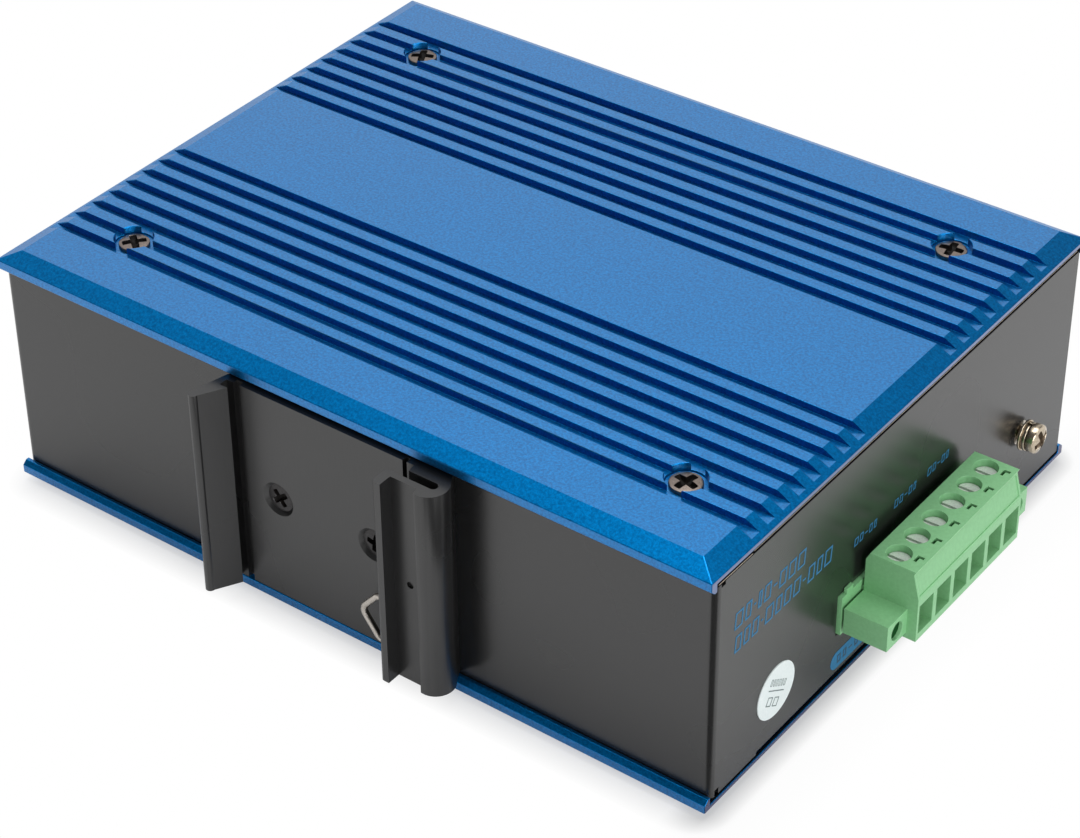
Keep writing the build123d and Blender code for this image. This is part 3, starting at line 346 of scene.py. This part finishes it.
def cross_head_rings(radius, crown, dome, rim, arm, recess, flare):
    """Rings of a screw head from the recess's floor out over the crown and down its rim."""
    angles = cross_angles()

    def level(reach):
        return crown - dome * (reach / radius) ** 2

    rings = []
    for share, depth in ((0.30, recess), (0.62, 0.86 * recess), (0.90, 0.42 * recess), (1.0, 0.06)):
        ring = []
        for angle in angles:
            reach = share * cross_radius(angle, arm)
            ring.append((reach * math.cos(angle), reach * math.sin(angle), level(reach) - depth))
        rings.append(ring)
    for share in (0.04, 0.35, 0.7, 0.88):
        ring = []
        for angle in angles:
            start = cross_radius(angle, arm)
            reach = start + (radius - start) * share
            ring.append((reach * math.cos(angle), reach * math.sin(angle), level(reach)))
        rings.append(ring)
    edge = crown - dome
    for reach, height in ((0.975 * radius, edge - 0.03), (radius, edge - 0.12), (radius - flare, edge - rim)):
        rings.append(circle_ring(angles, reach, height))
    return rings


def screw_frame(seat, outward, turn):
    """A screw's own frame: its seat, its axis and its recess's turn in degrees."""
    axis = Vector(outward)
    spin = Matrix.Rotation(math.radians(turn), 4, "Z")
    rotation = axis.to_track_quat("Z", "Y").to_matrix().to_4x4() @ spin
    return Matrix.Translation(Vector(seat) * MM) @ rotation @ Matrix.Scale(MM, 4)


def cross_screw(maker, seat, outward, turn, radius, crown, dome, rim, arm, recess, shank_radius, shank,
                flare=0.0):
    """A cross-head screw whose head sits on z = 0 of its own frame and whose shank goes down from there."""
    rings = cross_head_rings(radius, crown, dome, rim, arm, recess, flare)
    angles = cross_angles()
    for reach, height in (
            (shank_radius, crown - dome - rim), (shank_radius, -shank + 0.3), (0.7 * shank_radius, -shank)):
        rings.append(circle_ring(angles, reach, height))
    ring_stack(maker, screw_frame(seat, outward, turn), rings, RECESS_BANDS)


COVER_SCREW = {"radius": 2.5, "crown": 0.82, "dome": 0.24, "rim": 0.56, "arm": 1.95, "recess": 0.95,
               "shank_radius": 1.45, "shank": 3.9}
CLIP_SCREW = {"radius": 2.5, "crown": 1.04, "dome": 0.22, "rim": 0.82, "arm": 1.6, "recess": 1.0,
              "shank_radius": 1.45, "shank": 3.6, "flare": 0.5}
GROUND_SCREW = {"radius": 2.45, "crown": 1.8, "dome": 0.62, "rim": 1.18, "arm": 1.85, "recess": 0.9,
                "shank_radius": 1.05, "shank": 5.2}
COVER_SCREW_X = 52.5
COVER_SCREW_Y = 36.6
COVER_SCREW_SPOTS = [(x, y) for x in (-COVER_SCREW_X, COVER_SCREW_X) for y in (-COVER_SCREW_Y, COVER_SCREW_Y)]
GROUND_SCREW_SEAT = (69.4, 36.8, 15.0)

for node, seat_z, outward_z, turns in (
        ("top_cover_screws", 43.5, 1, (52, 28, 78, 8)), ("bottom_cover_screws", 1.5, -1, (12, 67, 40, 85))):
    screws = bmesh.new()
    for (x, y), turn in zip(COVER_SCREW_SPOTS, turns):
        cross_screw(screws, (x, y, seat_z), (0, 0, outward_z), turn, **COVER_SCREW)
    finish_piece(node + "_detail", screws, "screw_dark", (node,), "recess_shade_dark")

CLIP_SCREW_XS = (-10.0, 8.6)
CLIP_SCREW_Y, CLIP_SCREW_Z = -51.6, 22.5
screws = bmesh.new()
for x, turn in zip(CLIP_SCREW_XS, (38, 80)):
    cross_screw(screws, (x, CLIP_SCREW_Y, CLIP_SCREW_Z), (0, -1, 0), turn, **CLIP_SCREW)
finish_piece("rail_clip_screws_detail", screws, "screw_black", ("rail_clip_screws",),
             "recess_shade_dark")


THREAD_START = -0.05
THREAD_ROOT, THREAD_HEIGHT = 1.0, 0.22
THREAD_FADE = 6


def thread(maker, place, turns, steps, pitch):
    """A raised helix of small trapezoid section round a shank, fading out at both ends."""
    rows = []
    last_step = turns * steps
    for step in range(last_step + 1):
        angle = 2 * math.pi * step / steps
        level = THREAD_START - pitch * step / steps
        crest = THREAD_ROOT + THREAD_HEIGHT * min(1.0, step / THREAD_FADE, (last_step - step) / THREAD_FADE)
        row = []
        for reach, rise in ((THREAD_ROOT, 0.18), (crest, 0.03), (crest, -0.03), (THREAD_ROOT, -0.18)):
            point = Vector((reach * math.cos(angle), reach * math.sin(angle), level + rise))
            row.append(maker.verts.new(place @ point))
        rows.append(row)
    for row, after in zip(rows, rows[1:]):
        for k in range(4):
            n = (k + 1) % 4
            maker.faces.new((row[k], row[n], after[n], after[k]))
    maker.faces.new(rows[0])
    maker.faces.new(reversed(rows[-1]))


screws = bmesh.new()
cross_screw(screws, GROUND_SCREW_SEAT, (1, 0, 0), 20, **GROUND_SCREW)
thread(screws, screw_frame(GROUND_SCREW_SEAT, (1, 0, 0), 0), turns=11, steps=24, pitch=0.45)
finish_piece("ground_screw_detail", screws, "screw_warm", ("ground_screw",), "recess_shade_warm")


# Flat shapes on the end wall and in the plug. Each has an outline in Y and Z and lies between two X levels
WALL_X = 67.3
INK = 0.03


def flat_shape(maker, outline, low, high):
    """A thin flat shape between two X levels."""
    outer = [maker.verts.new(Vector((high, y, z)) * MM) for y, z in outline]
    inner = [maker.verts.new(Vector((low, y, z)) * MM) for y, z in outline]
    maker.faces.new(outer)
    maker.faces.new(reversed(inner))
    for k in range(len(outer)):
        n = (k + 1) % len(outer)
        maker.faces.new((outer[k], inner[k], inner[n], outer[n]))


def oblong(first, last, low, high):
    return [(first, low), (last, low), (last, high), (first, high)]


def arc(centre, radius, begin, sweep, steps):
    """Points on an arc, in degrees from Y towards Z, with both ends."""
    points = []
    for step in range(steps + 1):
        angle = math.radians(begin + sweep * step / steps)
        points.append((centre[0] + radius * math.cos(angle), centre[1] + radius * math.sin(angle)))
    return points


def mark_row(widths, tall, line, gap):
    """Strokes for a row of plain marks: a hollow box for each width above zero and a dash for each below."""
    strokes = []
    place = 0.0
    for wide in widths:
        if wide > 0:
            inner, outer = place + line, place + wide - line
            strokes += [(place, inner, 0, tall), (outer, place + wide, 0, tall)]
            strokes += [(inner, outer, 0, line), (inner, outer, tall - line, tall)]
        else:
            strokes += [(place, place - wide, (tall - line) / 2, (tall + line) / 2)]
        place += abs(wide) + gap
    return strokes


def moved(strokes, right, up):
    return [(first + right, last + right, low + up, high + up) for first, last, low, high in strokes]


# Print: plain rows where the photograph has words, and a plain pill. Each size is tall, line and gap
BIG_PRINT = (2.9, 0.3, 0.62)
SMALL_PRINT = (1.45, 0.2, 0.45)
PILL_PRINT = (1.5, 0.24, 0.7)
PRINT_LEAN = Vector((0.10, 1)).normalized()
FIRST_ROW = (2.0, 1.5, -0.5, 0.9, 1.7, -0.9, 1.8, 1.8, 1.9)
SECOND_ROW = (1.6, 1.5, 1.6, -0.5, 2.0, 1.6, 1.8, 1.8, -0.8, 1.7, 1.5, 1.9)
LABEL = (1.05, 0.9, -0.8, 0.9, 0.7)
LABEL_Z = 25.0
PRINT_ROWS = [(-46.2, 31.0, mark_row(FIRST_ROW, *BIG_PRINT)), (-46.0, 26.7, mark_row(SECOND_ROW, *BIG_PRINT))]
PRINT_ROWS += [(start, LABEL_Z, mark_row(LABEL, *SMALL_PRINT)) for start in (-14.4, -3.2, 6.4)]
ink = bmesh.new()
for row_y, row_z, strokes in PRINT_ROWS:
    for stroke in strokes:
        outline = [(row_y + a + PRINT_LEAN.x * b, row_z + PRINT_LEAN.y * b) for a, b in oblong(*stroke)]
        flat_shape(ink, outline, WALL_X - INK, WALL_X + INK)
finish_piece("print_marks", ink, "print_blue")

PILL_FIRST_Y, PILL_LAST_Y, PILL_Z, PILL_RADIUS = -17.5, -9.0, 5.6, 1.6
PILL_MARKS_Y, PILL_MARKS_Z = -17.3, 4.85
ink = bmesh.new()
flat_shape(ink, arc((PILL_LAST_Y, PILL_Z), PILL_RADIUS, -90, 180, 16)
           + arc((PILL_FIRST_Y, PILL_Z), PILL_RADIUS, 90, 180, 16), WALL_X - INK, WALL_X + INK)
finish_piece("print_pill", ink, "print_blue")
ink = bmesh.new()
for stroke in moved(mark_row((1.0, 0.9, -0.9, 1.0), *PILL_PRINT), PILL_MARKS_Y, PILL_MARKS_Z):
    flat_shape(ink, oblong(*stroke), WALL_X, WALL_X + 2 * INK)
finish_piece("print_pill_marks", ink, "print_dark")

# The sticker's faint print, turned as the sticker is: a line across it between two rows of plain marks
STICKER_Y, STICKER_Z = -34.5, 11.9
STICKER_TURN = math.radians(-32)
STICKER_THICKNESS = 0.15
STICKER_LINE = (-2.4, 2.4, -0.09, 0.09)
sticker_strokes = [STICKER_LINE]
sticker_strokes += moved(mark_row((0.5, 0.45, 0.5, 0.5, 0.45, 0.5), 1.1, 0.1, 0.35), -2.5, 0.7)
sticker_strokes += moved(mark_row((1.4, 1.4), 1.5, 0.16, 0.6), -1.7, -2.5)
ink = bmesh.new()
for stroke in sticker_strokes:
    outline = [
        (STICKER_Y + a * math.cos(STICKER_TURN) - b * math.sin(STICKER_TURN),
         STICKER_Z + a * math.sin(STICKER_TURN) + b * math.cos(STICKER_TURN)) for a, b in oblong(*stroke)]
    flat_shape(ink, outline, WALL_X + STICKER_THICKNESS - INK, WALL_X + STICKER_THICKNESS + INK)
finish_piece("sticker_marks", ink, "print_grey")

# Dark plates stand in for the deep shade at the seams between the end wall and the covers
SEAM_HALF_LENGTH = 50.9
SEAM_LEVELS = ((41.78, 42.69), (2.31, 2.72))
plates = bmesh.new()
for low, high in SEAM_LEVELS:
    flat_shape(plates, oblong(-SEAM_HALF_LENGTH, SEAM_HALF_LENGTH, low, high), WALL_X - INK, WALL_X + INK)
finish_piece("wall_seams", plates, "seam_dark")

# A light strip for the sheet's top edge, which shows in the upper seam: partly the bare edge's own colour and
# partly a painted highlight along the bend. A short stretch near the corner and a long one
SHEET_EDGES_AND_HIGHLIGHTS = ((-50.6, -42.3, 42.04, 42.16), (-41.9, 50.0, 42.34, 42.42))
plates = bmesh.new()
for stretch in SHEET_EDGES_AND_HIGHLIGHTS:
    flat_shape(plates, oblong(*stretch), WALL_X, WALL_X + 2 * INK)
finish_piece("wall_edge_and_highlight", plates, "sheet_edge_and_highlight")

# Dark plates stand in for the deep shade in the holes of the plug's two ears
EAR_HOLE_YS = (-15.19, 20.69)
EAR_HOLE_Z = 13.95
EAR_PLATE_RADIUS = 1.52
EAR_PLATE_STEPS = 32
EAR_PLATE_INNER_X, EAR_PLATE_OUTER_X = 74.6, 75.2
plates = bmesh.new()
for y in EAR_HOLE_YS:
    circle = arc((y, EAR_HOLE_Z), EAR_PLATE_RADIUS, 0, 360, EAR_PLATE_STEPS)[:-1]
    flat_shape(plates, circle, EAR_PLATE_INNER_X, EAR_PLATE_OUTER_X)
finish_piece("plug_ear_floors", plates, "mark_shade")

# Dark plates stand in for the deep shade in the hooked marks of the plug's top
CLAMP_SCREW_YS = (-9.95, -4.87, 0.21, 5.29, 10.37, 15.45)
MARK_X = 74.85
MARK_OFFSET_Y = 0.65
MARK_WIDTH = 0.5
MARK_ARM = 1.15
MARK_STEM = 1.0
MARK_GAP = 0.02
MARK_PLATE_LOW, MARK_PLATE_HIGH = 22.58, 23.0
plates = bmesh.new()
for screw_y in CLAMP_SCREW_YS:
    y = screw_y + MARK_OFFSET_Y
    for wide, first, last in ((MARK_ARM, y, y + MARK_WIDTH), (MARK_WIDTH, y - MARK_STEM, y - MARK_GAP)):
        flat_shape(plates, oblong(first, last, MARK_PLATE_LOW, MARK_PLATE_HIGH), MARK_X, MARK_X + wide)
finish_piece("plug_mark_floors", plates, "mark_shade")


# Stage, in metres. For each kind of ray: how white the floor is at the object's foot, and the distance from
# the foot at which it is all white
FLOOR_HALF = 6.0
FLOOR_DROP = 0.02 * MM
FOOT_HALF_LENGTH, FOOT_HALF_WIDTH = 0.064, 0.050
FLOOR_WHITE = (
    ("Is Camera Ray", 0.45, 0.007), ("Is Glossy Ray", 0.0, 0.070), ("Is Transmission Ray", 0.0, 0.070))


def stage_floor():
    """A pale floor that turns to plain white away from the object, so that it keeps the contact shadow.

    Beside the terminal's end wall, where the lamps wash the shadow out, a little shade is painted by place.
    In reflections the quarter of the floor beyond the near corner is painted dark, a painted dark reflection
    that gives the dark line on the bend."""
    mesh = bpy.data.meshes.new("floor")
    corners = [(x * FLOOR_HALF, y * FLOOR_HALF, 0) for x, y in ((-1, -1), (1, -1), (1, 1), (-1, 1))]
    mesh.from_pydata(corners, [], [(0, 1, 2, 3)])
    floor = bpy.data.objects.new("floor", mesh)
    floor.location.z = -FLOOR_DROP
    scene.collection.objects.link(floor)
    tree = Nodes("floor")
    tint = tree.noise(40.0, 1.0)
    tree.link(tree.mix(tint, (0.9, 0.9, 0.905, 1), (0.91, 0.91, 0.915, 1)), tree.shader.inputs["Base Color"])
    tree.shader.inputs["Roughness"].default_value = 0.9
    tree.shader.inputs["Specular IOR Level"].default_value = 0.0
    white = tree.add("ShaderNodeEmission")
    white.inputs["Color"].default_value = (1, 1, 1, 1)
    black = tree.add("ShaderNodeEmission")
    black.inputs["Strength"].default_value = 0.0
    path = tree.add("ShaderNodeLightPath")

    def vector(operation, first, second=None):
        node = tree.add("ShaderNodeVectorMath", operation=operation)
        tree.link(first, node.inputs[0])
        if second:
            node.inputs[1].default_value = second
        return node.outputs["Value" if operation == "LENGTH" else "Vector"]

    beyond = vector("SUBTRACT", vector("ABSOLUTE", tree.coords), (FOOT_HALF_LENGTH, FOOT_HALF_WIDTH, 1.0))
    distance = vector("LENGTH", vector("MAXIMUM", beyond, (0.0, 0.0, 0.0)))
    shares = [tree.math("MULTIPLY", tree.spread(distance, first, 1.0, 0.0, reach), path.outputs[kind])
              for kind, first, reach in FLOOR_WHITE]
    share = tree.math("MAXIMUM", tree.math("MAXIMUM", shares[0], shares[1]), shares[2])
    last = tree.mix_shaders(share, tree.shader.outputs["BSDF"], white.outputs["Emission"])
    place = tree.split(tree.coords)
    right = tree.spread(place["X"], 0.0, 1.0, 0.062, 0.067)
    front = tree.spread(place["Y"], 0.88, 0.0, -0.054, -0.0505)
    beside = tree.spread(place["X"], 0.0, 1.0, 0.0665, 0.0695)
    # Painted shade on the floor beside the end wall for camera rays, and a painted dark reflection of the
    # quarter beyond the near corner for glossy rays
    for amount, where, kind in (
            (tree.spread(distance, 0.28, 0.0, 0.0033, 0.0064), right, "Is Camera Ray"),
            (tree.spread(distance, 0.03, 0.0, 0.0033, 0.016), right, "Is Camera Ray"),
            (front, beside, "Is Glossy Ray")):
        shade = tree.math("MULTIPLY", tree.math("MULTIPLY", amount, where), path.outputs[kind])
        last = tree.mix_shaders(shade, last, black.outputs["Emission"])
    tree.link(last, tree.output.inputs["Surface"])
    mesh.materials.append(tree.material)
    floor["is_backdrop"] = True


BRIGHT_SIDE = (-0.58, 0.50, 0.645)
SIDE_START, SIDE_FULL = 0.50, 0.95  # the cosine from the bright side
DIM, BRIGHT = 0.18, 1.12
SWEEP_FULL, SWEEP_END = 0.12, 0.30  # the sine of the height


def studio_world():
    """A white sweep low down all round, a bright side behind and to the left, and dimmer elsewhere."""
    world = bpy.data.worlds.new("studio")
    scene.world = world
    world.use_nodes = True
    tree = world.node_tree
    tree.nodes.clear()
    output = tree.nodes.new("ShaderNodeOutputWorld")
    coords = tree.nodes.new("ShaderNodeTexCoord")
    split = tree.nodes.new("ShaderNodeSeparateXYZ")
    tree.links.new(coords.outputs["Generated"], split.inputs["Vector"])
    facing = tree.nodes.new("ShaderNodeVectorMath")
    facing.operation = "DOT_PRODUCT"
    facing.inputs[1].default_value = Vector(BRIGHT_SIDE).normalized()
    tree.links.new(coords.outputs["Generated"], facing.inputs[0])
    parts = []
    for source, low, high, first, last in (
            (facing.outputs["Value"], SIDE_START, SIDE_FULL, DIM, BRIGHT),
            (split.outputs["Z"], SWEEP_FULL, SWEEP_END, 1.0, 0.0)):
        part = tree.nodes.new("ShaderNodeMapRange")
        part.interpolation_type = "SMOOTHSTEP"
        for socket, value in (("From Min", low), ("From Max", high), ("To Min", first), ("To Max", last)):
            part.inputs[socket].default_value = value
        tree.links.new(source, part.inputs["Value"])
        parts.append(part.outputs["Result"])
    brighter = tree.nodes.new("ShaderNodeMath")
    brighter.operation = "MAXIMUM"
    tree.links.new(parts[0], brighter.inputs[0])
    tree.links.new(parts[1], brighter.inputs[1])
    studio = tree.nodes.new("ShaderNodeBackground")
    tree.links.new(brighter.outputs[0], studio.inputs["Strength"])
    tree.links.new(studio.outputs["Background"], output.inputs["Surface"])


LAMP_SIZE = 0.6
LAMP_AIM = Vector((0, 0, 0.02))


def softbox(name, place, power):
    """A square lamp that faces the middle of the object."""
    lamp = bpy.data.lights.new(name, "AREA")
    lamp.shape = "SQUARE"
    lamp.size = LAMP_SIZE
    lamp.energy = power
    box = bpy.data.objects.new(name, lamp)
    box.location = place
    box.rotation_euler = (LAMP_AIM - Vector(place)).to_track_quat("-Z", "Y").to_euler()
    scene.collection.objects.link(box)


stage_floor()
studio_world()
softbox("side", (0.86, -0.32, 0.34), 5.0)
softbox("top", (0.0, 0.10, 0.95), 5.2)

# Camera, from points of the housing in the photograph
IMAGE_WIDTH = 1080
camera_data = bpy.data.cameras.new("camera")
camera_data.sensor_width = 36
camera_data.sensor_fit = "HORIZONTAL"
camera_data.lens = 97.478
camera_data.shift_x = 80 / IMAGE_WIDTH
camera_data.shift_y = -110 / IMAGE_WIDTH
camera_data.clip_start = 0.01
camera_data.clip_end = 50
camera = bpy.data.objects.new("camera", camera_data)
camera_right = Vector((0.789622, 0.613174, -0.022684))
camera_up = Vector((-0.330408, 0.456057, 0.826343))
camera_back = Vector((0.517037, -0.645004, 0.56271))
turn = Matrix((camera_right, camera_up, camera_back)).transposed().to_4x4()
camera.matrix_world = Matrix.Translation((0.23029, -0.30768, 0.29394)) @ turn
scene.collection.objects.link(camera)
scene.camera = camera
scene.view_settings.view_transform = "Standard"

low, high = (list(corner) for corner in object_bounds())
